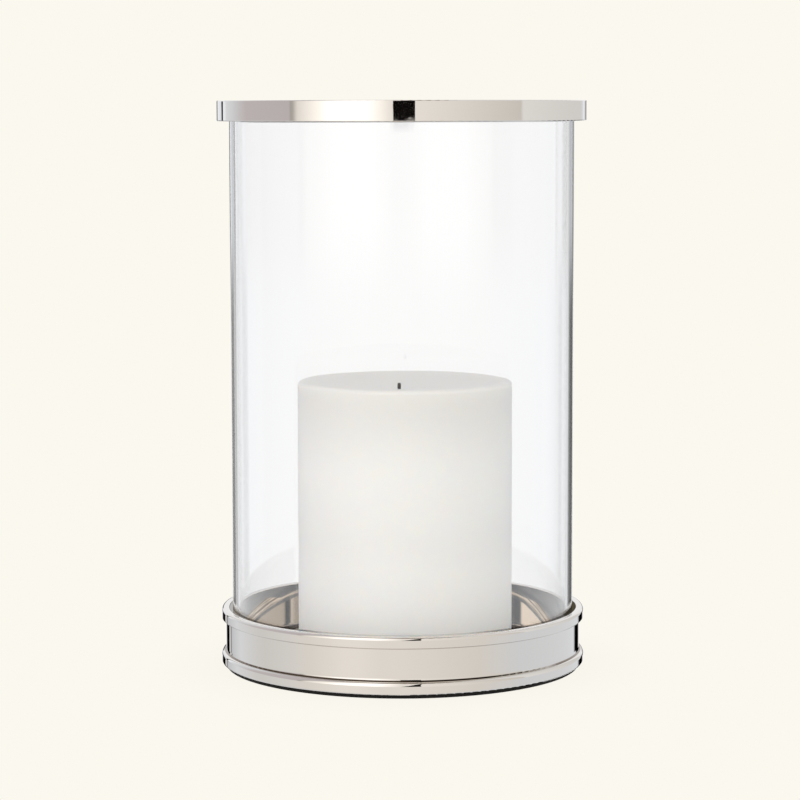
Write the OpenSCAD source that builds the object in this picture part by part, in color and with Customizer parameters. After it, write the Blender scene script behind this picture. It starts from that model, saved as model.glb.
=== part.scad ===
// Hurricane candle lantern: a clear glass cylinder with a bright metal rim, standing in a
// bright metal base around a pillar candle. All sizes are in millimetres.
// The origin is the middle of the underside, on the table. +Z is up and the front faces -Y.

/* [Lantern] */
// Height of the whole lantern, from the table to the top of the rim
lantern_h = 210; // [180:1:320]

/* [Glass] */
// Outside diameter of the glass cylinder
glass_d = 127; // [115:1:160]
// Thickness of the glass wall
glass_wall = 2.5; // [2.2:0.1:3.2]

/* [Base] */
// Height of the lip's crest above the table
base_h = 22.1; // [21.5:0.1:26]
// How far the lip stands out beyond the glass
lip_out = 4.1; // [3.6:0.1:5]
// How far the waist between the lip and the foot bead stands out beyond the glass
waist_out = 2.6; // [2.4:0.1:3]
// How far the foot bead stands out beyond the glass
bead_out = 4.2; // [4:0.1:5.5]
// Gap around the glass inside the lip
seat_gap = 1.2; // [0.9:0.1:1.3]
// Height of the lip's outer face
lip_face_h = 4; // [3.4:0.1:5]
// Height of the floor that the candle and the glass stand on
floor_z = 5.5; // [4.4:0.1:7]
// Thickness of the felt pad under the base
pad_t = 1.4; // [1:0.1:2]
// Thickness of the cushion ring that the glass stands on
cushion_t = 0.8; // [0.6:0.1:2]

/* [Rim] */
// Height of the rim's outer band
rim_h = 7.5; // [7:0.1:10]
// How far the rim stands out beyond the glass
rim_out = 4.5; // [3:0.1:6]
// Thickness of the bond between the rim and the glass
bond_t = 0.5; // [0.3:0.1:0.7]

/* [Candle] */
// Diameter of the candle
candle_d = 80; // [60:1:90]
// Height of the candle
candle_h = 101; // [75:1:150]
// Depth of the hollow in the candle's top
dish_depth = 3.2; // [1:0.1:5]
// How far the candle stands to the right of the lantern's middle
candle_off = 1; // [0:0.1:3]
// How far the wick stands off the candle's middle, to the left
wick_off = 2.1; // [0:0.1:4]
// Diameter of the wick
wick_d = 1.4; // [1.2:0.1:2.2]
// Height of the wick above the wax
wick_stub = 2.2; // [1.5:0.1:8]

/* [Hidden] */
$fn = 96;

// Radii from the lantern's middle line
glass_r = glass_d / 2;
glass_in = glass_r - glass_wall;
lip_r = glass_r + lip_out;
lip_in = glass_r + seat_gap;
waist_r = glass_r + waist_out;
bead_r = glass_r + bead_out;
rim_r = glass_r + rim_out;
candle_r = candle_d / 2;

// The base, from the table up
bead_round = 1;
bead_shoulder = 1.64;
bead_top = pad_t + 4.67;
flare_h = 1.83;
flare_r = 12;
lip_bottom = base_h - lip_face_h;
lip_foot_round = 0.35;
crest_outer_round = 1.2;
crest_inner_round = 0.5;
glass_z = floor_z + cushion_t;
pad_inset = 0.9;

// The rim, from the top down
rim_bottom = lantern_h - rim_h;
rim_cap = 2;
rim_leg = 1;
rim_leg_h = 6.3;
groove_top = lantern_h - rim_cap;
glass_top = groove_top - bond_t;
rim_in = glass_in - bond_t - rim_leg;
edge_round = 0.4;

// The candle and its wick
candle_top = floor_z + candle_h;
candle_edge = 1.3;
dish_r = candle_r - 3;
dish_sphere = (dish_r * dish_r + dish_depth * dish_depth) / (2 * dish_depth);
wick_x = candle_off - wick_off;
wick_top = candle_top - dish_depth + wick_stub;
wick_fit = 0.05;
clip_d = 20;
clip_t = 0.4;
clip_neck_d = 3.4;
clip_neck_h = 5;
clip_gap = 0.1;

// A circular arc that meets its neighbours at a slight angle, never quite tangent
function slack(r) = r * 1.03;

// A rectangle with its four corners rounded: low corner at the origin
module rounded_rect(w, h, r) {
    intersection() {
        square([w, h]);
        union() {
            translate([r, 0]) square([w - 2 * r, h]);
            translate([0, r]) square([w, h - 2 * r]);
            for (x = [r, w - r])
                for (y = [r, h - r])
                    translate([x, y]) circle(slack(r));
        }
    }
}

// Outline of the lip: an upright face with a flat crest and three rounded corners
module lip_section() {
    w = lip_r - lip_in;
    h = base_h - lip_bottom;
    translate([lip_in, lip_bottom])
        intersection() {
            square([w, h]);
            union() {
                square([w - lip_foot_round, h - crest_outer_round]);
                translate([0, lip_foot_round]) square([w, h - lip_foot_round - crest_outer_round]);
                square([w - crest_outer_round, h - crest_inner_round]);
                translate([crest_inner_round, 0]) square([w - crest_inner_round - crest_outer_round, h]);
                translate([w - lip_foot_round, lip_foot_round]) circle(slack(lip_foot_round));
                translate([w - crest_outer_round, h - crest_outer_round]) circle(slack(crest_outer_round));
                translate([crest_inner_round, h - crest_inner_round]) circle(slack(crest_inner_round));
            }
        }
}

// Outline of the foot bead: a round shoulder above, an upright face and a round edge below
module bead_section() {
    h = bead_top - pad_t;
    translate([0, pad_t])
        intersection() {
            square([bead_r, h]);
            union() {
                square([bead_r - bead_round, h - bead_shoulder]);
                translate([0, bead_round]) square([bead_r, h - bead_shoulder - bead_round]);
                square([bead_r - bead_shoulder, h]);
                translate([bead_r - bead_round, bead_round]) circle(slack(bead_round));
                translate([bead_r - bead_shoulder, h - bead_shoulder]) circle(slack(bead_shoulder));
            }
        }
}

// Outline of the waist's foot, which flares out slightly where it meets the bead
module flare_section() {
    difference() {
        translate([waist_r - 0.3, bead_top - 0.1]) square([0.6, flare_h]);
        translate([waist_r - 0.01 + flare_r, bead_top + flare_h]) circle(flare_r, $fn = 360);
    }
}

// Cast metal base, a shallow cup: foot bead, waist and lip outside, a plain wall and a flat
// floor inside
module base_body() {
    color([0.85, 0.82, 0.79])
        rotate_extrude()
            difference() {
                union() {
                    translate([0, pad_t]) square([waist_r, lip_bottom + 1 - pad_t]);
                    lip_section();
                    bead_section();
                    flare_section();
                }
                translate([-1, floor_z]) square([lip_in + 1, base_h]);
            }
}

// Black felt pad glued under the base
module foot_pad() {
    color([0.05, 0.05, 0.05])
        cylinder(h = pad_t, r = bead_r - bead_round - pad_inset);
}

// Dark felt ring on the floor of the base, which the glass stands on
module glass_cushion() {
    color([0.22, 0.19, 0.18])
        translate([0, 0, floor_z])
            rotate_extrude()
                translate([glass_in - 0.4, 0]) square([glass_wall + 1.2, cushion_t]);
}

// Clear glass cylinder, open at both ends, with melted-round edges
module glass_cylinder() {
    color([0.92, 0.96, 0.97, 0.3])
        rotate_extrude()
            translate([glass_in, glass_z])
                rounded_rect(glass_wall, glass_top - glass_z, glass_wall * 0.4);
}

// Bright metal rim, with a groove below that the top of the glass is bonded into
module top_rim() {
    color([0.87, 0.84, 0.81])
        rotate_extrude()
            difference() {
                translate([rim_in, rim_bottom])
                    rounded_rect(rim_r - rim_in, rim_h, edge_round);
                translate([glass_in - bond_t, rim_bottom - 1])
                    square([glass_wall + 2 * bond_t, rim_h - rim_cap + 1]);
                translate([rim_in - 1, rim_bottom - 1])
                    square([rim_leg + 1.5, rim_h - rim_leg_h + 1]);
            }
}

// Clear bond that fills the groove around the top of the glass
module rim_bond() {
    bond_h = groove_top - rim_bottom - 1.4;
    color([0.9, 0.9, 0.88, 0.6])
        rotate_extrude()
            difference() {
                translate([glass_in - bond_t, groove_top - bond_h])
                    square([glass_wall + 2 * bond_t, bond_h]);
                translate([glass_in, glass_z])
                    rounded_rect(glass_wall, glass_top - glass_z, glass_wall * 0.4);
            }
}

// Pillar of wax: round edges, a shallow hollow in the top, a bore for the wick and a
// pocket below for the wick's clip
module candle_wax() {
    color([0.94, 0.93, 0.91])
        difference() {
            translate([candle_off, 0, 0]) candle_pillar();
            translate([wick_x, 0, floor_z - 1])
                cylinder(h = candle_h + 2, d = wick_d + 2 * wick_fit);
            translate([wick_x, 0, floor_z - 1])
                cylinder(h = clip_t + clip_gap + 1, d = clip_d + 2 * clip_gap);
            translate([wick_x, 0, floor_z - 1])
                cylinder(h = clip_neck_h + clip_gap + 1, d = clip_neck_d + 2 * clip_gap);
        }
}

// The pillar before it is bored, standing on its own middle line
module candle_pillar() {
    rotate_extrude()
        difference() {
            intersection() {
                translate([-candle_r, floor_z]) rounded_rect(candle_d, candle_h, candle_edge);
                translate([0, floor_z]) square([candle_r, candle_h]);
            }
            translate([0, candle_top - dish_depth + dish_sphere]) circle(dish_sphere, $fn = 360);
        }
}

// Plaited cotton wick, from the clip up through the wax
module candle_wick() {
    color([0.2, 0.19, 0.18])
        translate([wick_x, 0, floor_z + clip_t])
            cylinder(h = wick_top - floor_z - clip_t, d = wick_d);
}

// Pressed metal clip that holds the foot of the wick: a disc with a neck
module wick_clip() {
    color([0.7, 0.71, 0.72])
        translate([wick_x, 0, floor_z])
            difference() {
                union() {
                    cylinder(h = clip_t, d = clip_d);
                    cylinder(h = clip_neck_h, d = clip_neck_d);
                }
                translate([0, 0, clip_t])
                    cylinder(h = clip_neck_h, d = wick_d + 2 * wick_fit);
            }
}

base_body();
foot_pad();
glass_cushion();
glass_cylinder();
top_rim();
rim_bond();
candle_wax();
candle_wick();
wick_clip();
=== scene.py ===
"""Looks of the hurricane candle lantern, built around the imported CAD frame. Units are metres."""
import math

import bmesh
import bpy
from mathutils import Matrix, Vector, noise


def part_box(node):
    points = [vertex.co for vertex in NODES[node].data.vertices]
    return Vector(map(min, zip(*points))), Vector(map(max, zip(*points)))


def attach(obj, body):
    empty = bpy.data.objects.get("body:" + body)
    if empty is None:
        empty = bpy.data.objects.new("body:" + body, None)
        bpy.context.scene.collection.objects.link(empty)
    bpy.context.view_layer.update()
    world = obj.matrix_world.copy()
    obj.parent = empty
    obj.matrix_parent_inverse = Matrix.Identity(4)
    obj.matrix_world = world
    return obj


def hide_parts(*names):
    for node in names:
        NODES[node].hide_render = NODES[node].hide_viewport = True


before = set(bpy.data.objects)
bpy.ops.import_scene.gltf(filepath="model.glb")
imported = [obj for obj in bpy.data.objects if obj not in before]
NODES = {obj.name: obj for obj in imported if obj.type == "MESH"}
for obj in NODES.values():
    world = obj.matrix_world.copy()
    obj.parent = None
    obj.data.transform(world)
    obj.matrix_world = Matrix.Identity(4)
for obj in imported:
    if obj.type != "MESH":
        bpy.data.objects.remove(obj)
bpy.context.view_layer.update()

TAU = 2 * math.pi
MM = 0.001

# ---------------------------------------------------------------- camera
CAMERA_LENS = 126.0          # mm, on a 36 mm sensor
CAMERA_DISTANCE = 1.037      # from the lantern's middle line, along the floor
CAMERA_HEIGHT = 0.2072       # level with the rim
CAMERA_SIDE = -0.0008        # to the left of the middle
CAMERA_PITCH = 5.954         # degrees down
CAMERA_ROLL = -0.11          # degrees

# ---------------------------------------------------------------- table top
FLOOR_SIZE = 80.0
CONTACT_SHADOW = 0.03        # how far it reaches

# ---------------------------------------------------------------- colours (linear)
CREAM = (0.965, 0.940, 0.863, 1.0)
NICKEL = (0.78, 0.745, 0.70, 1.0)
SEAM_SHADE = (0.16, 0.11, 0.075, 1.0)         # painted shade in the base's seams
DEEP_LEFT = (0.34, 0.32, 0.29, 1.0)     # what is left of the light after many reflections in the base
DEEP_RIGHT = (0.07, 0.064, 0.045, 1.0)
WAX = (0.915, 0.922, 0.905, 1.0)
WAX_CLOUDS = (0.885, 0.892, 0.87, 1.0)
# painted shade: the candle's top a touch greyer
WAX_TOP_SHADE = (0.785, 0.785, 0.765, 1.0)
SEAT_FELT = ((0.06, 0.05, 0.045, 1.0), (0.17, 0.14, 0.125, 1.0))      # between the fibres, on them
PAD_FELT = ((0.004, 0.004, 0.004, 1.0), (0.022, 0.021, 0.020, 1.0))

# ---------------------------------------------------------------- the base's outline (mm)
LIP_INSET = 0.1              # the lip, inside the foot bead
WAIST_INSET = 1.6            # the waist, inside the foot bead
LIP_HEIGHT = 4.0
LIP_FOOT_ROUND = 0.35
CREST_OUTER_ROUND = 1.2
CREST_INNER_ROUND = 0.5
SEAT_GAP = 1.2               # from the glass to the wall inside the base
BEAD_HEIGHT = 4.67
BEAD_SHOULDER = 1.64
BEAD_ROUND = 1.0
FLARE = 0.14                 # how far the waist's foot flares out
TWIST = 1.7                  # degrees the base's rounded edges are turned to the right of the rim


# ================================================================ node helpers
class Tree:
    """A short way to write a node tree: add nodes, link sockets, set values."""

    def __init__(self, tree):
        self.tree = tree
        tree.nodes.clear()

    def node(self, kind, values=None, **settings):
        made = self.tree.nodes.new("ShaderNode" + kind)
        for name, value in settings.items():
            setattr(made, name, value)
        for name, value in (values or {}).items():
            self.feed(made.inputs[name], value)
        return made

    def feed(self, socket, value):
        if isinstance(value, bpy.types.NodeSocket):
            self.tree.links.new(value, socket)
        else:
            socket.default_value = value

    def math(self, operation, a, b=0.0):
        made = self.tree.nodes.new("ShaderNodeMath")
        made.operation = operation
        self.feed(made.inputs[0], a)
        self.feed(made.inputs[1], b)
        return made.outputs[0]

    def product(self, first, *others):
        result = first
        for other in others:
            result = self.math("MULTIPLY", result, other)
        return result

    def inverse(self, value):
        """1 - value."""
        return self.math("SUBTRACT", 1.0, value)

    def length(self, a, b):
        """The length of the vector (a, b)."""
        squares = self.math("ADD", self.math("MULTIPLY", a, a), self.math("MULTIPLY", b, b))
        return self.math("SQRT", squares)

    def parts(self, vector):
        """The x, y and z of a vector."""
        return self.node("SeparateXYZ", {"Vector": vector}).outputs

    def place(self):
        """The point being shaded, on its own piece."""
        return self.node("TexCoord").outputs["Object"]

    def mix(self, factor, a, b):
        """A colour mix."""
        made = self.tree.nodes.new("ShaderNodeMix")
        made.data_type = "RGBA"
        self.feed(made.inputs["Factor"], factor)
        self.feed(made.inputs[6], a)
        self.feed(made.inputs[7], b)
        return made.outputs[2]

    def mix_shader(self, factor, a, b):
        made = self.tree.nodes.new("ShaderNodeMixShader")
        self.feed(made.inputs[0], factor)
        self.feed(made.inputs[1], a)
        self.feed(made.inputs[2], b)
        return made.outputs[0]

    def ramp(self, factor, stops):
        made = self.tree.nodes.new("ShaderNodeValToRGB")
        ramp = made.color_ramp
        ramp.elements[0].position = stops[0][0]
        ramp.elements[0].color = stops[0][1]
        ramp.elements[1].position = stops[-1][0]
        ramp.elements[1].color = stops[-1][1]
        for position, colour in stops[1:-1]:
            ramp.elements.new(position).color = colour
        self.feed(made.inputs[0], factor)
        return made.outputs[0]

    def noise(self, vector, scale, detail=3.0, roughness=0.5):
        values = {"Vector": vector, "Scale": scale, "Detail": detail, "Roughness": roughness}
        return self.node("TexNoise", values).outputs["Fac"]

    def scaled(self, vector, factors):
        return self.node("VectorMath", {0: vector, 1: factors}, operation="MULTIPLY").outputs[0]

    def bump(self, height, distance, **more):
        return self.node("Bump", {"Height": height, "Distance": distance, "Strength": 1.0, **more}).outputs[0]

    def emission(self, colour, strength=1.0):
        return self.node("Emission", {"Color": colour, "Strength": strength}).outputs[0]

    def surface(self, shader):
        self.feed(self.node("OutputMaterial").inputs["Surface"], shader)


def new_material(name):
    material = bpy.data.materials.new(name)
    material.use_nodes = True
    return material, Tree(material.node_tree)


# ================================================================ the studio
# Tints, to be multiplied by a brightness
NEUTRAL = (1.0, 1.0, 1.0)
COOL = (0.96, 1.0, 1.06)
WARM = (1.03, 1.0, 0.96)
MAUVE = (1.04, 0.98, 1.03)
TAN = (1.2, 1.0, 0.8)
OLIVE = (1.15, 1.0, 0.6)

# What stands round the lantern, by compass angle seen from it: 0 is towards the camera, + is to the
# camera's right. Each panel is (from, to, brightness at from, brightness at to, tint).
STUDIO = [
    (-180, -167, 0.0, 0.0, NEUTRAL),        # a dark panel straight behind
    (-165, -151, 0.95, 0.9, COOL),
    (-150, -147, 0.0, 0.0, NEUTRAL),        # a dark strip
    (-146, -142, 1.1, 1.0, COOL),
    (-139, -130, 0.85, 0.8, COOL),
    (-112, -73, 0.6, 0.58, MAUVE),
    (-72, -70, 0.45, 0.5, WARM),            # the far edge of the large soft light
    (-67, -52, 0.9, 1.3, WARM),
    (-46, -20, 1.5, 1.45, NEUTRAL),         # its middle
    (-12, -5, 1.2, 0.95, WARM),
    (2, 78, 1.0, 0.7, WARM),
    (80, 148, 0.9, 0.75, NEUTRAL),
    (154, 158, 0.85, 1.05, COOL),
    (162, 171, 0.4, 0.4, NEUTRAL),
    (176, 180, 0.6, 0.0, NEUTRAL),
]
# The pale table top, as polished metal sees it in each direction
TABLE = [
    (-180, -169, 0.95, 0.9, NEUTRAL),
    (-165, -155, 0.0, 0.0, NEUTRAL),
    (-154, -151, 0.7, 0.7, NEUTRAL),
    (-150, -149, 0.25, 0.25, NEUTRAL),
    (-147, -130, 0.65, 0.85, COOL),
    (-100, -80, 0.75, 0.8, NEUTRAL),
    (-60, -38, 0.85, 0.95, WARM),
    (-28, -14, 0.95, 0.9, WARM),
    (0, 50, 0.9, 0.8, WARM),
    (80, 148, 0.8, 0.85, COOL),
    (152, 164, 0.0, 0.0, NEUTRAL),
    (168, 180, 0.9, 0.95, NEUTRAL),
]
# What the edge of the glass wall picks up from behind
GLASS_EDGE = [
    (-180, -174, 1.0, 0.9, NEUTRAL),
    (-168, -160, 0.5, 0.4, NEUTRAL),
    (-156, -150, 0.5, 0.9, NEUTRAL),
    (-140, -100, 0.95, 0.95, NEUTRAL),
    (100, 151, 0.95, 0.8, NEUTRAL),
    (155, 163, 0.45, 0.2, NEUTRAL),
    (167, 172, 0.35, 0.55, NEUTRAL),
    (176, 180, 0.95, 1.0, NEUTRAL),
]
# Painted reflections on the wall inside the base, seen level. Its upper part goes by mm behind the middle
# line: dark in the front corners, pale beside the candle, fading behind it. Its lower part goes by mm to the
# right of that line.
CUP_UPPER = [(0, 0.05, OLIVE), (12, 0.06, OLIVE), (18, 0.5, NEUTRAL), (24, 0.5, NEUTRAL),
             (30, 0.33, NEUTRAL), (50, 0.13, NEUTRAL)]
CUP_LOWER = [(-62, 0.35, TAN), (-44.2, 0.3, TAN), (-43.9, 0.06, COOL), (-42.2, 0.06, COOL),
             (-41.6, 0.4, TAN), (-40, 0.25, TAN), (38, 0.1, NEUTRAL), (44.3, 0.1, NEUTRAL),
             (44.7, 0.6, TAN), (62, 0.5, TAN)]
CUP_STREAKS = [(0.38, 0.17, TAN), (0.64, 0.65, TAN)]
CUP_SHADOW = (0.13, NEUTRAL)
CUP_GAP = (0.5, NEUTRAL)
PEAK = 1.6                   # a ramp holds colours up to 1, so the studio's are stored divided by this
DIFFUSE_LIFT = 0.15          # how much more the studio lights matt surfaces
SIDE_LOSS = 0.13             # how much less of that comes from the sides
BACK_PANEL = (0.97, 0.98, 1.00)         # above the dark panels behind the lantern
CEILING = (0.16, 0.14, 0.12, 1.0)
FLAG = (-5.2, 8.1)           # the dark gap in front, low on its left side and tall on its right
FLAG_TOP = 75.0              # its height on the right, in degrees
FLAG_CURVE = 1.3             # how its top climbs from left to right: 1 is a straight line
FLAG_SPREAD = 1.4            # how much wider it is at its top
FLAG_COLOUR = (0.002, 0.0015, 0.0015, 1.0)


def compass(t, direction):
    """(share of a full turn from behind, compass angle in degrees, height angle in degrees)."""
    x, y, z = t.parts(direction)
    angle = t.math("DEGREES", t.math("ARCTAN2", x, t.math("MULTIPLY", y, -1.0)))
    height = t.math("DEGREES", t.math("ARCSINE", z))
    return t.math("DIVIDE", t.math("ADD", angle, 180.0), 360.0), angle, height


def step_up(t, value, start, end):
    """0 below start, 1 above end, smooth between."""
    return t.node("MapRange", {"Value": value, "From Min": start, "From Max": end},
                  interpolation_type="SMOOTHSTEP").outputs[0]


def stored(colour):
    """A studio colour as the ramps hold it."""
    return tuple(c / PEAK for c in colour) + (1.0,)


def shade(level, tint):
    return tuple(level * c for c in tint)


def panels(t, turn, rows):
    """The stored colour of a ring of panels. A ramp holds 32 stops, so each half has its own."""
    halves = []
    for low in (-180, 0):
        stops = []
        for start, end, first, last, tint in rows:
            if low <= start and end <= low + 180:
                stops.append(((start - low) / 180, stored(shade(first, tint))))
                stops.append(((end - low) / 180, stored(shade(last, tint))))
        share = t.math("SUBTRACT", t.math("MULTIPLY", turn, 2.0), 0.0 if low < 0 else 1.0)
        halves.append(t.ramp(share, stops))
    return t.mix(t.math("GREATER_THAN", turn, 0.5), halves[0], halves[1])


def flag_mask(t, angle, height):
    """1 inside the dark gap in front, which ends just below level."""
    above = t.math("MAXIMUM", height, 0.0)
    steep = t.math("POWER", t.math("DIVIDE", above, FLAG_TOP), 4.0)
    narrow = t.math("DIVIDE", angle, t.math("ADD", t.math("MULTIPLY", steep, FLAG_SPREAD), 1.0))
    share = t.math("DIVIDE", t.math("SUBTRACT", narrow, FLAG[0]), FLAG[1] - FLAG[0])
    top = t.math("POWER", t.math("MAXIMUM", share, 0.0), FLAG_CURVE)
    return t.product(t.math("GREATER_THAN", share, 0.0), t.math("LESS_THAN", share, 1.0),
                     t.math("LESS_THAN", above, t.math("MULTIPLY", top, FLAG_TOP)),
                     step_up(t, height, -0.55, -0.33))


def studio_colour(t, direction):
    """The stored colour of the studio: the ring of panels, the dark gap in it, and a dim ceiling."""
    turn, angle, height = compass(t, direction)
    behind = step_up(t, t.math("ABSOLUTE", angle), 146.0, 151.0)
    back = t.math("MULTIPLY", behind, step_up(t, height, 3.0, 6.0))
    ring = t.mix(back, panels(t, turn, STUDIO), stored(BACK_PANEL))
    ring = t.mix(flag_mask(t, angle, height), ring, FLAG_COLOUR)
    return t.mix(step_up(t, height, 70.0, 78.0), ring, CEILING)


def through_glass(t, direction, plain):
    """Chooses what a ray that has passed glass sees. Straight through: clear white, however many walls it
    crossed. Turned back inside one wall, at the sides of the cylinder: the panels that shade its edge.
    Everything else, such as a reflection in the metal seen through the glass: the plain studio."""
    path = t.node("LightPath")
    depth = path.outputs["Transmission Depth"]
    turned = t.math("SUBTRACT", path.outputs["Ray Depth"], depth)
    passed = t.math("GREATER_THAN", depth, 1.5)
    straight = t.math("MULTIPLY", passed, t.math("LESS_THAN", turned, 0.5))
    turn, angle, height = compass(t, direction)
    behind = t.math("MULTIPLY", t.math("GREATER_THAN", t.math("ABSOLUTE", angle), 110.0),
                    t.math("LESS_THAN", height, 35.0))
    edge = t.product(passed, t.math("LESS_THAN", depth, 2.5), t.math("GREATER_THAN", turned, 0.5),
                     behind, path.outputs["Is Transmission Ray"])
    shaded = t.mix(edge, plain, panels(t, turn, GLASS_EDGE))
    return t.mix(straight, shaded, stored((1.0, 1.0, 1.0)))


def studio_strength(t, direction):
    """Undoes the division by PEAK, and lights matt surfaces a little more, less so from the sides."""
    _, angle, _ = compass(t, direction)
    angle = t.math("ABSOLUTE", angle)
    side = t.product(step_up(t, angle, 30.0, 75.0), t.inverse(step_up(t, angle, 130.0, 165.0)), SIDE_LOSS)
    lift = t.product(t.math("SUBTRACT", DIFFUSE_LIFT, side), t.node("LightPath").outputs["Is Diffuse Ray"])
    return t.math("MULTIPLY", t.math("ADD", lift, 1.0), PEAK)


def build_world():
    world = bpy.data.worlds.new("Studio")
    bpy.context.scene.world = world
    world.use_nodes = True
    t = Tree(world.node_tree)
    direction = t.node("TexCoord").outputs["Generated"]
    colour = through_glass(t, direction, studio_colour(t, direction))
    studio = t.node("Background", {"Color": colour, "Strength": studio_strength(t, direction)})
    backdrop = t.node("Background", {"Color": CREAM, "Strength": 1.0})
    seen = t.node("LightPath").outputs["Is Camera Ray"]
    whole = t.mix_shader(seen, studio.outputs[0], backdrop.outputs[0])
    t.feed(t.node("OutputWorld").inputs["Surface"], whole)


def build_floor():
    """A plain pale table top. It shows cream with a faint contact shadow. Metal mirrors it as TABLE, except
    within a few degrees of level, where it takes the studio's colours, so that the two meet softly."""
    bpy.ops.mesh.primitive_grid_add(x_subdivisions=8, y_subdivisions=8, size=FLOOR_SIZE)
    floor = bpy.context.object
    floor.name = "studio_floor"
    material, t = new_material("pale_floor")
    direction = t.scaled(t.node("NewGeometry").outputs["Incoming"], (-1.0, -1.0, -1.0))
    turn, _, height = compass(t, direction)
    near = step_up(t, t.math("MULTIPLY", height, -1.0), 2.0, 4.5)
    top = t.mix(near, studio_colour(t, direction), panels(t, turn, TABLE))
    bounce = t.emission(through_glass(t, direction, top), studio_strength(t, direction))
    shade = t.node("AmbientOcclusion", {"Distance": CONTACT_SHADOW}, samples=8).outputs["AO"]
    level = t.node("MapRange", {"Value": shade, "From Min": 0.5, "From Max": 1.0,
                                "To Min": 0.97, "To Max": 1.0}).outputs[0]
    seen = t.node("LightPath").outputs["Is Camera Ray"]
    t.surface(t.mix_shader(seen, bounce, t.emission(CREAM, level)))
    floor.data.materials.append(material)


def build_camera():
    data = bpy.data.cameras.new("Camera")
    data.lens = CAMERA_LENS
    data.sensor_width = 36.0
    camera = bpy.data.objects.new("Camera", data)
    bpy.context.scene.collection.objects.link(camera)
    tilt = Matrix.Rotation(math.radians(90 - CAMERA_PITCH), 4, "X")
    roll = Matrix.Rotation(math.radians(CAMERA_ROLL), 4, "Z")
    place = Matrix.Translation((CAMERA_SIDE, -CAMERA_DISTANCE, CAMERA_HEIGHT))
    camera.matrix_world = place @ tilt @ roll
    bpy.context.scene.camera = camera


# ================================================================ materials
def in_mm(t, place):
    """(x, y, z, distance from the middle line) of a point, in mm."""
    x, y, z = t.parts(t.scaled(place, (1 / MM, 1 / MM, 1 / MM)))
    return x, y, z, t.length(x, y)


def tone(level, tint):
    """A tone of the painted reflection on the wall inside the base."""
    return shade(level, tint) + (1.0,)


def tone_ramp(t, value, rows):
    """A ramp over a plain value, from rows of (value, brightness, tint)."""
    low, high = rows[0][0], rows[-1][0]
    stops = [((v - low) / (high - low), tone(level, tint)) for v, level, tint in rows]
    return t.ramp(t.math("DIVIDE", t.math("SUBTRACT", value, low), high - low), stops)


def painted_cup_reflection(t, right, behind, z):
    """The painted reflection on the wall inside the base, by distance right of and behind the middle line and
    height, in mm. The mirrored floor climbs with depth. Above it lies a streaked band, and then the wall."""
    climb = 0.356
    bend_from = 46.0         # nearer than this, the bands sink at the right and the streaked one thickens
    gap_to = 17.0            # nearer than this, the wall is pale on the left
    short = t.math("MAXIMUM", t.math("SUBTRACT", bend_from, behind), 0.0)
    sink = t.product(short, 0.4, t.math("GREATER_THAN", right, 0.0))
    above = t.math("ADD", t.math("SUBTRACT", z, t.math("MULTIPLY", behind, climb)), sink)
    along = t.node("CombineXYZ", {"X": above, "Y": t.math("MULTIPLY", behind, 0.07)}).outputs[0]
    streaks = tone_ramp(t, t.noise(along, 1.3, 3.0, 0.55), CUP_STREAKS)
    colour = t.mix(step_up(t, above, -1.6, -1.1), tone_ramp(t, right, CUP_LOWER), tone(*CUP_SHADOW))
    colour = t.mix(step_up(t, above, -0.2, 0.3), colour, streaks)
    gap = t.product(t.math("LESS_THAN", right, 0.0), t.math("LESS_THAN", behind, gap_to), 0.85)
    wall = t.mix(gap, tone_ramp(t, behind, CUP_UPPER), tone(*CUP_GAP))
    thickness = t.math("ADD", t.math("MINIMUM", t.math("MULTIPLY", short, 0.6), 3.5), 1.0)
    return t.mix(step_up(t, t.math("SUBTRACT", above, thickness), -0.3, 0.4), colour, wall)


def cup_mirror(t, place):
    """(colour, mask) of the painted reflection on the wall inside the base, seen level and directly. Its wall
    and floor mirror each other many times over, which leaves slanting bands that follow the eye round the
    lantern."""
    floor_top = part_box("glass_cushion")[0].z / MM
    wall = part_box("glass_cylinder")[1].x / MM + SEAT_GAP
    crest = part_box("base_body")[1].z / MM
    x, y, z, radius = in_mm(t, place)
    eye_x, eye_y, eye_z = t.parts(t.node("NewGeometry").outputs["Incoming"])
    flat = t.math("MAXIMUM", t.length(eye_x, eye_y), 0.01)
    across = t.math("SUBTRACT", t.math("MULTIPLY", y, eye_x), t.math("MULTIPLY", x, eye_y))
    right = t.math("DIVIDE", across, flat)
    towards = t.math("ADD", t.math("MULTIPLY", x, eye_x), t.math("MULTIPLY", y, eye_y))
    behind = t.math("DIVIDE", t.math("MULTIPLY", towards, -1.0), flat)
    path = t.node("LightPath")
    turned = t.math("SUBTRACT", path.outputs["Ray Depth"], path.outputs["Transmission Depth"])
    on_wall = t.product(t.math("LESS_THAN", radius, wall + 0.6),
                        t.math("GREATER_THAN", z, floor_top + 0.1),
                        t.math("LESS_THAN", z, crest - 0.45))
    mask = t.product(on_wall, t.math("LESS_THAN", turned, 0.5), t.math("GREATER_THAN", behind, 0.0),
                     t.inverse(step_up(t, eye_z, 0.3, 0.5)))
    return painted_cup_reflection(t, right, behind, z), mask


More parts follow.
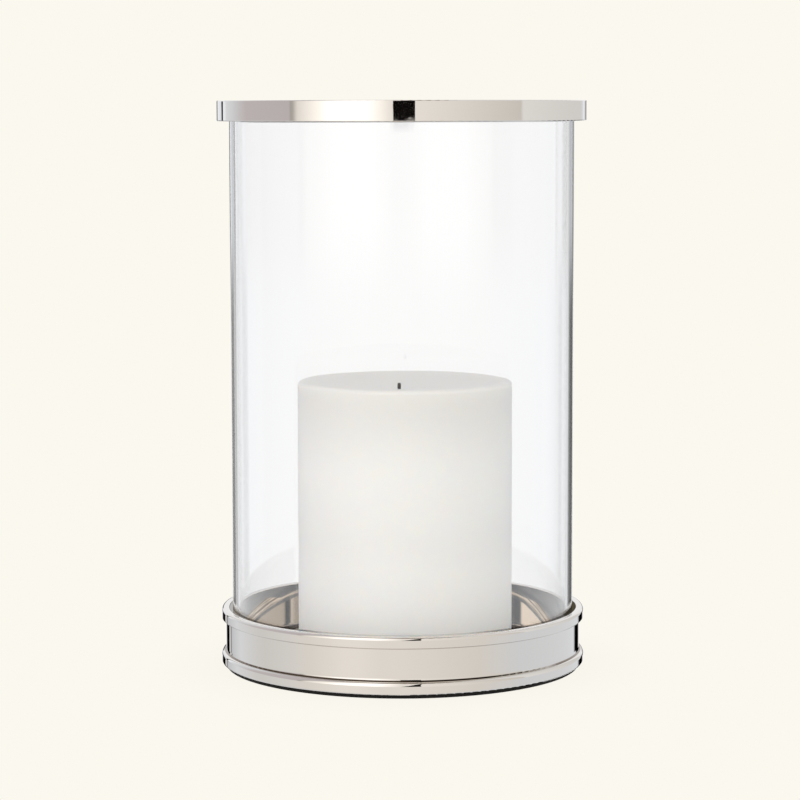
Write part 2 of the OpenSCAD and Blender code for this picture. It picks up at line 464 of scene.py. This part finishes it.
def base_rounds():
    """The base's rounded edges. Each is (distance of its centre from the middle line, height of its centre,
    radius, side out, side up), in mm."""
    low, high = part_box("base_body")
    bead, crest, foot = high.x / MM, high.z / MM, low.z / MM
    lip = bead - LIP_INSET
    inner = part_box("glass_cylinder")[1].x / MM + SEAT_GAP
    return [
        (lip - CREST_OUTER_ROUND, crest - CREST_OUTER_ROUND, CREST_OUTER_ROUND, 1.0, 1.0),
        (inner + CREST_INNER_ROUND, crest - CREST_INNER_ROUND, CREST_INNER_ROUND, -1.0, 1.0),
        (lip - LIP_FOOT_ROUND, crest - LIP_HEIGHT + LIP_FOOT_ROUND, LIP_FOOT_ROUND, 1.0, -1.0),
        (bead - BEAD_SHOULDER, foot + BEAD_HEIGHT - BEAD_SHOULDER, BEAD_SHOULDER, 1.0, 1.0),
        (bead - BEAD_ROUND, foot + BEAD_ROUND, BEAD_ROUND, 1.0, -1.0),
    ]


def turned_normal(t, place, rounds):
    """The exact normal of a turned part: true round the middle line, and true over its rounded edges. Where
    it has rounded edges, the normals that point up are turned by TWIST."""
    x, y, z, radius = in_mm(t, place)
    safe = t.math("MAXIMUM", radius, 0.001)
    out_x, out_y = t.math("DIVIDE", x, safe), t.math("DIVIDE", y, safe)
    mesh_x, mesh_y, up = t.parts(t.node("NewGeometry").outputs["Normal"])
    out = t.math("ADD", t.math("MULTIPLY", mesh_x, out_x), t.math("MULTIPLY", mesh_y, out_y))
    for centre, height, size, side, rise in rounds:
        across = t.math("SUBTRACT", radius, centre)
        above = t.math("SUBTRACT", z, height)
        length = t.length(across, above)
        on_round = t.product(t.math("GREATER_THAN", t.math("MULTIPLY", across, side), 0.0),
                             t.math("GREATER_THAN", t.math("MULTIPLY", above, rise), 0.0),
                             t.math("LESS_THAN", length, size * 1.25),
                             t.math("GREATER_THAN", length, size * 0.75))
        elsewhere = t.inverse(on_round)
        true_out = t.math("MULTIPLY", t.math("DIVIDE", across, length), on_round)
        true_up = t.math("MULTIPLY", t.math("DIVIDE", above, length), on_round)
        out = t.math("ADD", t.math("MULTIPLY", out, elsewhere), true_out)
        up = t.math("ADD", t.math("MULTIPLY", up, elsewhere), true_up)
    twist = math.tan(math.radians(TWIST)) if rounds else 0.0
    turn = t.math("MULTIPLY", step_up(t, up, 0.004, 0.02), twist)
    joined = t.node("CombineXYZ", {
        "X": t.math("MULTIPLY", t.math("ADD", out_x, t.math("MULTIPLY", out_y, turn)), out),
        "Y": t.math("MULTIPLY", t.math("SUBTRACT", out_y, t.math("MULTIPLY", out_x, turn)), out),
        "Z": up,
    })
    return t.node("VectorMath", {0: joined.outputs[0]}, operation="NORMALIZE").outputs[0]


def painted_seam_shade(t, place):
    """How much painted shade lies in the two seams of the base's outside: above the foot bead, and under the
    lip. Above the bead it is thinnest at the front right."""
    low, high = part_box("base_body")
    waist = high.x / MM - WAIST_INSET
    x, y, z, radius = in_mm(t, place)
    full, none = 0.34, 0.62      # mm from a seam

    def seam(ring, height, strength):
        away = t.length(t.math("SUBTRACT", radius, ring), t.math("SUBTRACT", z, height))
        return t.math("MULTIPLY", t.inverse(step_up(t, away, full, none)), strength)

    turn = t.math("DEGREES", t.math("ARCTAN2", x, t.math("MULTIPLY", y, -1.0)))
    # the painted shade above the bead is fainter at the front right
    fainter_front_right = t.product(step_up(t, turn, 27.0, 31.0), t.inverse(step_up(t, turn, 52.0, 60.0)), 0.75)
    above_bead = seam(waist + FLARE, low.z / MM + BEAD_HEIGHT, 0.95)
    under_lip = seam(waist, high.z / MM - LIP_HEIGHT, 0.5)
    return t.math("ADD", t.math("MULTIPLY", above_bead, t.inverse(fainter_front_right)), under_lip)


def nickel_shader(t, place, seam_shade_amount, rounds):
    """Mirror-bright nickel plate: warm white, with fine turned polishing lines and a faint orange peel, and
    painted shade mixed into its colour by the given amount.
    """
    x, y, z = t.parts(place)
    turn = t.math("MULTIPLY", t.math("ARCTAN2", y, x), 0.004)
    along = t.node("CombineXYZ", {"X": turn, "Y": t.length(x, y), "Z": z}).outputs[0]
    lines = t.noise(along, 9000.0, 4.0, 0.6)
    peel = t.noise(place, 160.0, 2.0, 0.5)
    haze = t.noise(place, 45.0, 4.0, 0.6)
    roughness = t.node("MapRange", {"Value": haze, "From Min": 0.35, "From Max": 0.75,
                                    "To Min": 0.012, "To Max": 0.032}).outputs[0]
    plate = t.mix(haze, NICKEL, tuple(c * 0.97 for c in NICKEL[:3]) + (1.0,))
    relief = t.math("ADD", peel, t.math("MULTIPLY", lines, 0.03))
    return t.node("BsdfPrincipled", {
        "Base Color": t.mix(seam_shade_amount, plate, SEAM_SHADE),
        "Metallic": 1.0,
        "Roughness": t.math("ADD", roughness, t.math("MULTIPLY", lines, 0.008)),
        "Normal": t.bump(relief, 0.000012, Normal=turned_normal(t, place, rounds)),
    }).outputs[0]


def rim_material():
    """The rim's clean nickel."""
    material, t = new_material("polished_nickel")
    t.surface(nickel_shader(t, t.place(), 0.0, ()))
    return material


def cup_material():
    """The base's nickel: painted shade in its seams, and painted reflections inside the cup."""
    material, t = new_material("polished_nickel_cup")
    place = t.place()
    plate = nickel_shader(t, place, painted_seam_shade(t, place), base_rounds())
    colour, mask = cup_mirror(t, place)
    # the wall inside the cup glows with its painted reflections
    surface = t.mix_shader(t.math("MULTIPLY", mask, 0.97), plate, t.emission(colour, 1.08))
    to_right = step_up(t, t.parts(place)[0], -0.005, 0.005)
    # after many bounces in the metal, a painted reflection glow stands in for the rest of the light
    deep_reflection = t.math("GREATER_THAN", t.node("LightPath").outputs["Glossy Depth"], 2.5)
    t.surface(t.mix_shader(deep_reflection, surface, t.emission(t.mix(to_right, DEEP_LEFT, DEEP_RIGHT))))
    return material


def painted_lip_shade(t):
    """A painted shade line on the outside of the glass, fine and dark, just where it dips behind the lip. It
    is faint where the glass is seen square on, and it stays at the lip when the glass is lifted."""
    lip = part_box("base_body")[1].z / MM
    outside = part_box("glass_cylinder")[1].x / MM - 0.3
    point = t.node("NewGeometry")
    x, y, z, radius = in_mm(t, point.outputs["Position"])
    line = t.product(step_up(t, z, lip - 0.7, lip - 0.4), t.inverse(step_up(t, z, lip + 0.1, lip + 0.3)))
    eye_x, eye_y, _ = t.parts(point.outputs["Incoming"])
    facing = t.math("ADD", t.math("MULTIPLY", x, eye_x), t.math("MULTIPLY", y, eye_y))
    square_on = step_up(t, t.math("DIVIDE", facing, radius), 0.78, 0.92)
    strength = t.math("SUBTRACT", 0.6, t.math("MULTIPLY", square_on, 0.45))
    near = t.product(t.math("GREATER_THAN", facing, 0.0), t.math("GREATER_THAN", radius, outside))
    return t.product(line, near, strength)


def glass_material():
    """Clear glass with the faint waviness of drawn tube, and a painted dark shade line at the lip. Shadow and
    matt rays pass straight through it."""
    material, t = new_material("clear_glass")
    wave = t.noise(t.scaled(t.place(), (1.0, 1.0, 0.12)), 55.0, 1.0, 0.3)
    glass = t.node("BsdfGlass", {
        "Color": (0.995, 0.995, 0.995, 1.0),
        "Roughness": 0.0,
        "IOR": 1.5,
        "Normal": t.bump(wave, 0.000005),
    })
    clear = t.node("BsdfTransparent", {"Color": (0.98, 0.98, 0.98, 1.0)})
    path = t.node("LightPath")
    passing = t.math("MAXIMUM", path.outputs["Is Shadow Ray"], path.outputs["Is Diffuse Ray"])
    clear_glass = t.mix_shader(passing, glass.outputs[0], clear.outputs[0])
    shade = t.node("BsdfDiffuse", {"Color": (0.05, 0.042, 0.034, 1.0)})
    t.surface(t.mix_shader(painted_lip_shade(t), clear_glass, shade.outputs[0]))
    return material


def silicone_material():
    """Clear soft silicone: slightly milky and not quite smooth."""
    material, t = new_material("clear_silicone")
    grain = t.noise(t.place(), 900.0, 2.0)
    body = t.node("BsdfPrincipled", {
        "Base Color": t.mix(grain, (0.80, 0.81, 0.80, 1.0), (0.86, 0.87, 0.86, 1.0)),
        "Roughness": 0.35,
        "IOR": 1.41,
        "Transmission Weight": 0.7,
        "Normal": t.bump(grain, 0.00003),
    })
    t.surface(body.outputs[0])
    return material


def felt_material(name, colours):
    """Dense wool felt: short matted fibres with a faint sheen."""
    material, t = new_material(name)
    place = t.place()
    fibres = t.noise(place, 1800.0, 6.0, 0.7)
    clumps = t.noise(place, 260.0, 3.0, 0.6)
    height = t.math("ADD", fibres, t.math("MULTIPLY", clumps, 0.6))
    shader = t.node("BsdfPrincipled", {
        "Base Color": t.mix(fibres, *colours),
        "Roughness": 0.95,
        "Specular IOR Level": 0.1,
        "Sheen Weight": 0.05,
        "Normal": t.bump(height, 0.0003),
    })
    t.surface(shader.outputs[0])
    return material


def tin_material():
    """Thin tinned steel with rolling lines."""
    material, t = new_material("tinned_steel")
    lines = t.noise(t.scaled(t.place(), (0.05, 1.0, 1.0)), 4000.0)
    shader = t.node("BsdfPrincipled", {
        "Base Color": t.mix(lines, (0.62, 0.62, 0.62, 1.0), (0.70, 0.70, 0.71, 1.0)),
        "Metallic": 1.0,
        "Roughness": 0.3,
        "Normal": t.bump(lines, 0.00002),
    })
    t.surface(shader.outputs[0])
    return material


def wax_material():
    """White paraffin: light sinks in and spreads, the skin is satin, with faint mottling. Its foot has a
    painted glow for the light gathered in the bright cup, and its top is a touch greyer with painted shade."""
    material, t = new_material("white_wax")
    place = t.place()
    cloud = t.noise(place, 60.0, 4.0, 0.6)
    skin = t.noise(place, 420.0, 3.0, 0.5)
    grain = t.noise(place, 2600.0, 2.0, 0.5)
    z = t.parts(place)[2]
    # painted shade makes the top a touch greyer
    colour = t.mix(step_up(t, z, 0.070, 0.106), t.mix(cloud, WAX, WAX_CLOUDS), WAX_TOP_SHADE)
    # painted glow at the candle's foot
    foot = t.inverse(step_up(t, z, 0.020, 0.055))
    height = t.math("ADD", t.math("MULTIPLY", skin, 0.7), t.math("MULTIPLY", grain, 0.12))
    shader = t.node("BsdfPrincipled", {
        "Base Color": colour,
        "Roughness": t.math("ADD", t.math("MULTIPLY", skin, 0.12), 0.38),
        "IOR": 1.43,
        "Subsurface Weight": 1.0,
        "Subsurface Radius": (1.0, 0.85, 0.7),
        "Subsurface Scale": 0.006,
        "Emission Color": (1.0, 0.985, 0.95, 1.0),
        "Emission Strength": t.math("MULTIPLY", foot, 0.17),
        "Normal": t.bump(height, 0.00012),
    })
    t.surface(shader.outputs[0])
    return material


def wick_material(char_from, char_to):
    """Plaited cotton, cream low down and charred black at the tip."""
    material, t = new_material("cotton_wick")
    place = t.place()
    z = t.parts(place)[2]
    fuzz = t.noise(place, 5000.0, 4.0, 0.7)
    burnt = t.node("MapRange", {"Value": z, "From Min": char_from, "From Max": char_to}).outputs[0]
    colour = t.mix(burnt, (0.55, 0.50, 0.42, 1.0), (0.012, 0.011, 0.010, 1.0))
    shader = t.node("BsdfPrincipled", {
        "Base Color": colour,
        "Roughness": 0.9,
        "Specular IOR Level": 0.2,
        "Normal": t.bump(fuzz, 0.0001),
    })
    t.surface(shader.outputs[0])
    return material


# ================================================================ mesh pieces
def smooth_piece(name, mesh, material):
    """A smooth-shaded object from a bmesh, which it uses up."""
    bmesh.ops.recalc_face_normals(mesh, faces=mesh.faces)
    data = bpy.data.meshes.new(name)
    mesh.to_mesh(data)
    mesh.free()
    data.materials.append(material)
    for polygon in data.polygons:
        polygon.use_smooth = True
    obj = bpy.data.objects.new(name, data)
    bpy.context.scene.collection.objects.link(obj)
    return obj


def lathe(name, outline, segments, material, centre, wobble):
    """A closed solid of revolution from (radius, height) points, each moved by wobble. The first and last
    are on the axis."""
    mesh = bmesh.new()
    rings = []
    for radius, height in outline:
        if radius < 1e-7:
            ring = [mesh.verts.new((centre[0], centre[1], height))]
        else:
            ring = []
            for i in range(segments):
                a = TAU * i / segments
                r, z = wobble(radius, height, a)
                ring.append(mesh.verts.new((centre[0] + r * math.cos(a), centre[1] + r * math.sin(a), z)))
        rings.append(ring)
    for lower, upper in zip(rings, rings[1:]):
        for i in range(segments):
            j = (i + 1) % segments
            if len(lower) == 1:
                mesh.faces.new((lower[0], upper[j], upper[i]))
            elif len(upper) == 1:
                mesh.faces.new((lower[i], lower[j], upper[0]))
            else:
                mesh.faces.new((lower[i], lower[j], upper[j], upper[i]))
    return smooth_piece(name, mesh, material)


def arc(cx, cz, radius, start, end, steps):
    """Points on an arc, angles in degrees from +radius towards +height."""
    points = []
    for i in range(steps + 1):
        a = math.radians(start + (end - start) * i / steps)
        points.append((cx + radius * math.cos(a), cz + radius * math.sin(a)))
    return points


def build_candle():
    """The pillar: softly rounded edges, a shallow hollow in the top and a slightly uneven skin."""
    low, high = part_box("candle_wax")
    radius = (high.x - low.x) / 2
    bottom, top = low.z, high.z
    centre = ((low.x + high.x) / 2, (low.y + high.y) / 2)
    edge = 1.5 * MM
    dish_depth = 3.2 * MM
    dish_radius = radius - 3.0 * MM
    sphere = (dish_radius ** 2 + dish_depth ** 2) / (2 * dish_depth)
    segments, side_steps, dish_steps = 256, 60, 40

    outline = [(0.0, bottom), (radius * 0.5, bottom), (radius - edge, bottom)]
    outline += arc(radius - edge, bottom + edge, edge, -90, 0, 8)[1:]
    for i in range(1, side_steps):
        outline.append((radius, bottom + edge + (top - bottom - 2 * edge) * i / side_steps))
    outline += arc(radius - edge, top - edge, edge, 0, 90, 10)
    for i in range(dish_steps + 1):
        r = dish_radius * (1 - i / dish_steps)
        outline.append((r, top - dish_depth + sphere - math.sqrt(sphere ** 2 - r ** 2)))

    def wobble(r, z, a):
        point = Vector((math.cos(a) * r, math.sin(a) * r, z))
        swell = noise.noise(point * 35) * 0.10 * MM + noise.noise(point * 140) * 0.03 * MM
        lift = 0.0
        if z > top - 1.1 * dish_depth:
            lift = noise.noise(point * 60 + Vector((7, 3, 1))) * 0.12 * MM
        inward = min(0.0, swell - 0.1 * MM)
        return r + inward if r > 1e-4 else r, min(z + lift, top)

    candle = lathe("candle_body", outline, segments, wax_material(), centre, wobble)
    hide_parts("candle_wax")
    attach(candle, "candle")


def build_wick():
    """A three-strand plait, from the clip to the trimmed and charred tip."""
    low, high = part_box("candle_wick")
    middle = (low.x + high.x) / 2
    radius = (high.x - low.x) / 2
    strand_radius = radius * 0.52
    swing = radius - strand_radius
    turns = (high.z - low.z) / (2.4 * MM)
    steps_per_turn, sides = 16, 10
    steps = int(turns * steps_per_turn)
    mesh = bmesh.new()
    for strand in range(3):
        phase = TAU * strand / 3
        rings = []
        for i in range(steps + 1):
            share = i / steps
            a = phase + share * turns * TAU
            z = low.z + (high.z - low.z) * share
            cx = middle + swing * math.cos(a)
            cy = swing * math.sin(a)
            thick = strand_radius * (1.0 if share < 0.995 else 0.8)
            corners = [TAU * k / sides for k in range(sides)]
            rings.append([mesh.verts.new((cx + thick * math.cos(b), cy + thick * math.sin(b), z))
                          for b in corners])
        for lower, upper in zip(rings, rings[1:]):
            for k in range(sides):
                mesh.faces.new((lower[k], lower[(k + 1) % sides], upper[(k + 1) % sides], upper[k]))
        mesh.faces.new(list(reversed(rings[0])))
        mesh.faces.new(rings[-1])
    material = wick_material(high.z - 4 * MM, high.z - 2.4 * MM)
    wick = smooth_piece("plaited_wick", mesh, material)
    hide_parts("candle_wick")
    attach(wick, "candle")


def finish_cad_node(name, material):
    """Gives a carried-over CAD node its material."""
    obj = NODES[name]
    obj.data.materials.clear()
    obj.data.materials.append(material)


# ================================================================ build
build_world()
build_floor()
build_camera()

finish_cad_node("base_body", cup_material())
finish_cad_node("top_rim", rim_material())
finish_cad_node("glass_cylinder", glass_material())
finish_cad_node("glass_cushion", felt_material("seat_felt", SEAT_FELT))
finish_cad_node("rim_bond", silicone_material())
finish_cad_node("foot_pad", felt_material("black_felt", PAD_FELT))
finish_cad_node("wick_clip", tin_material())

build_candle()
build_wick()

scene = bpy.context.scene
scene.view_settings.view_transform = "Standard"
scene.cycles.glossy_bounces = 8
scene.cycles.transmission_bounces = 16
scene.cycles.transparent_max_bounces = 16
scene.cycles.max_bounces = 20
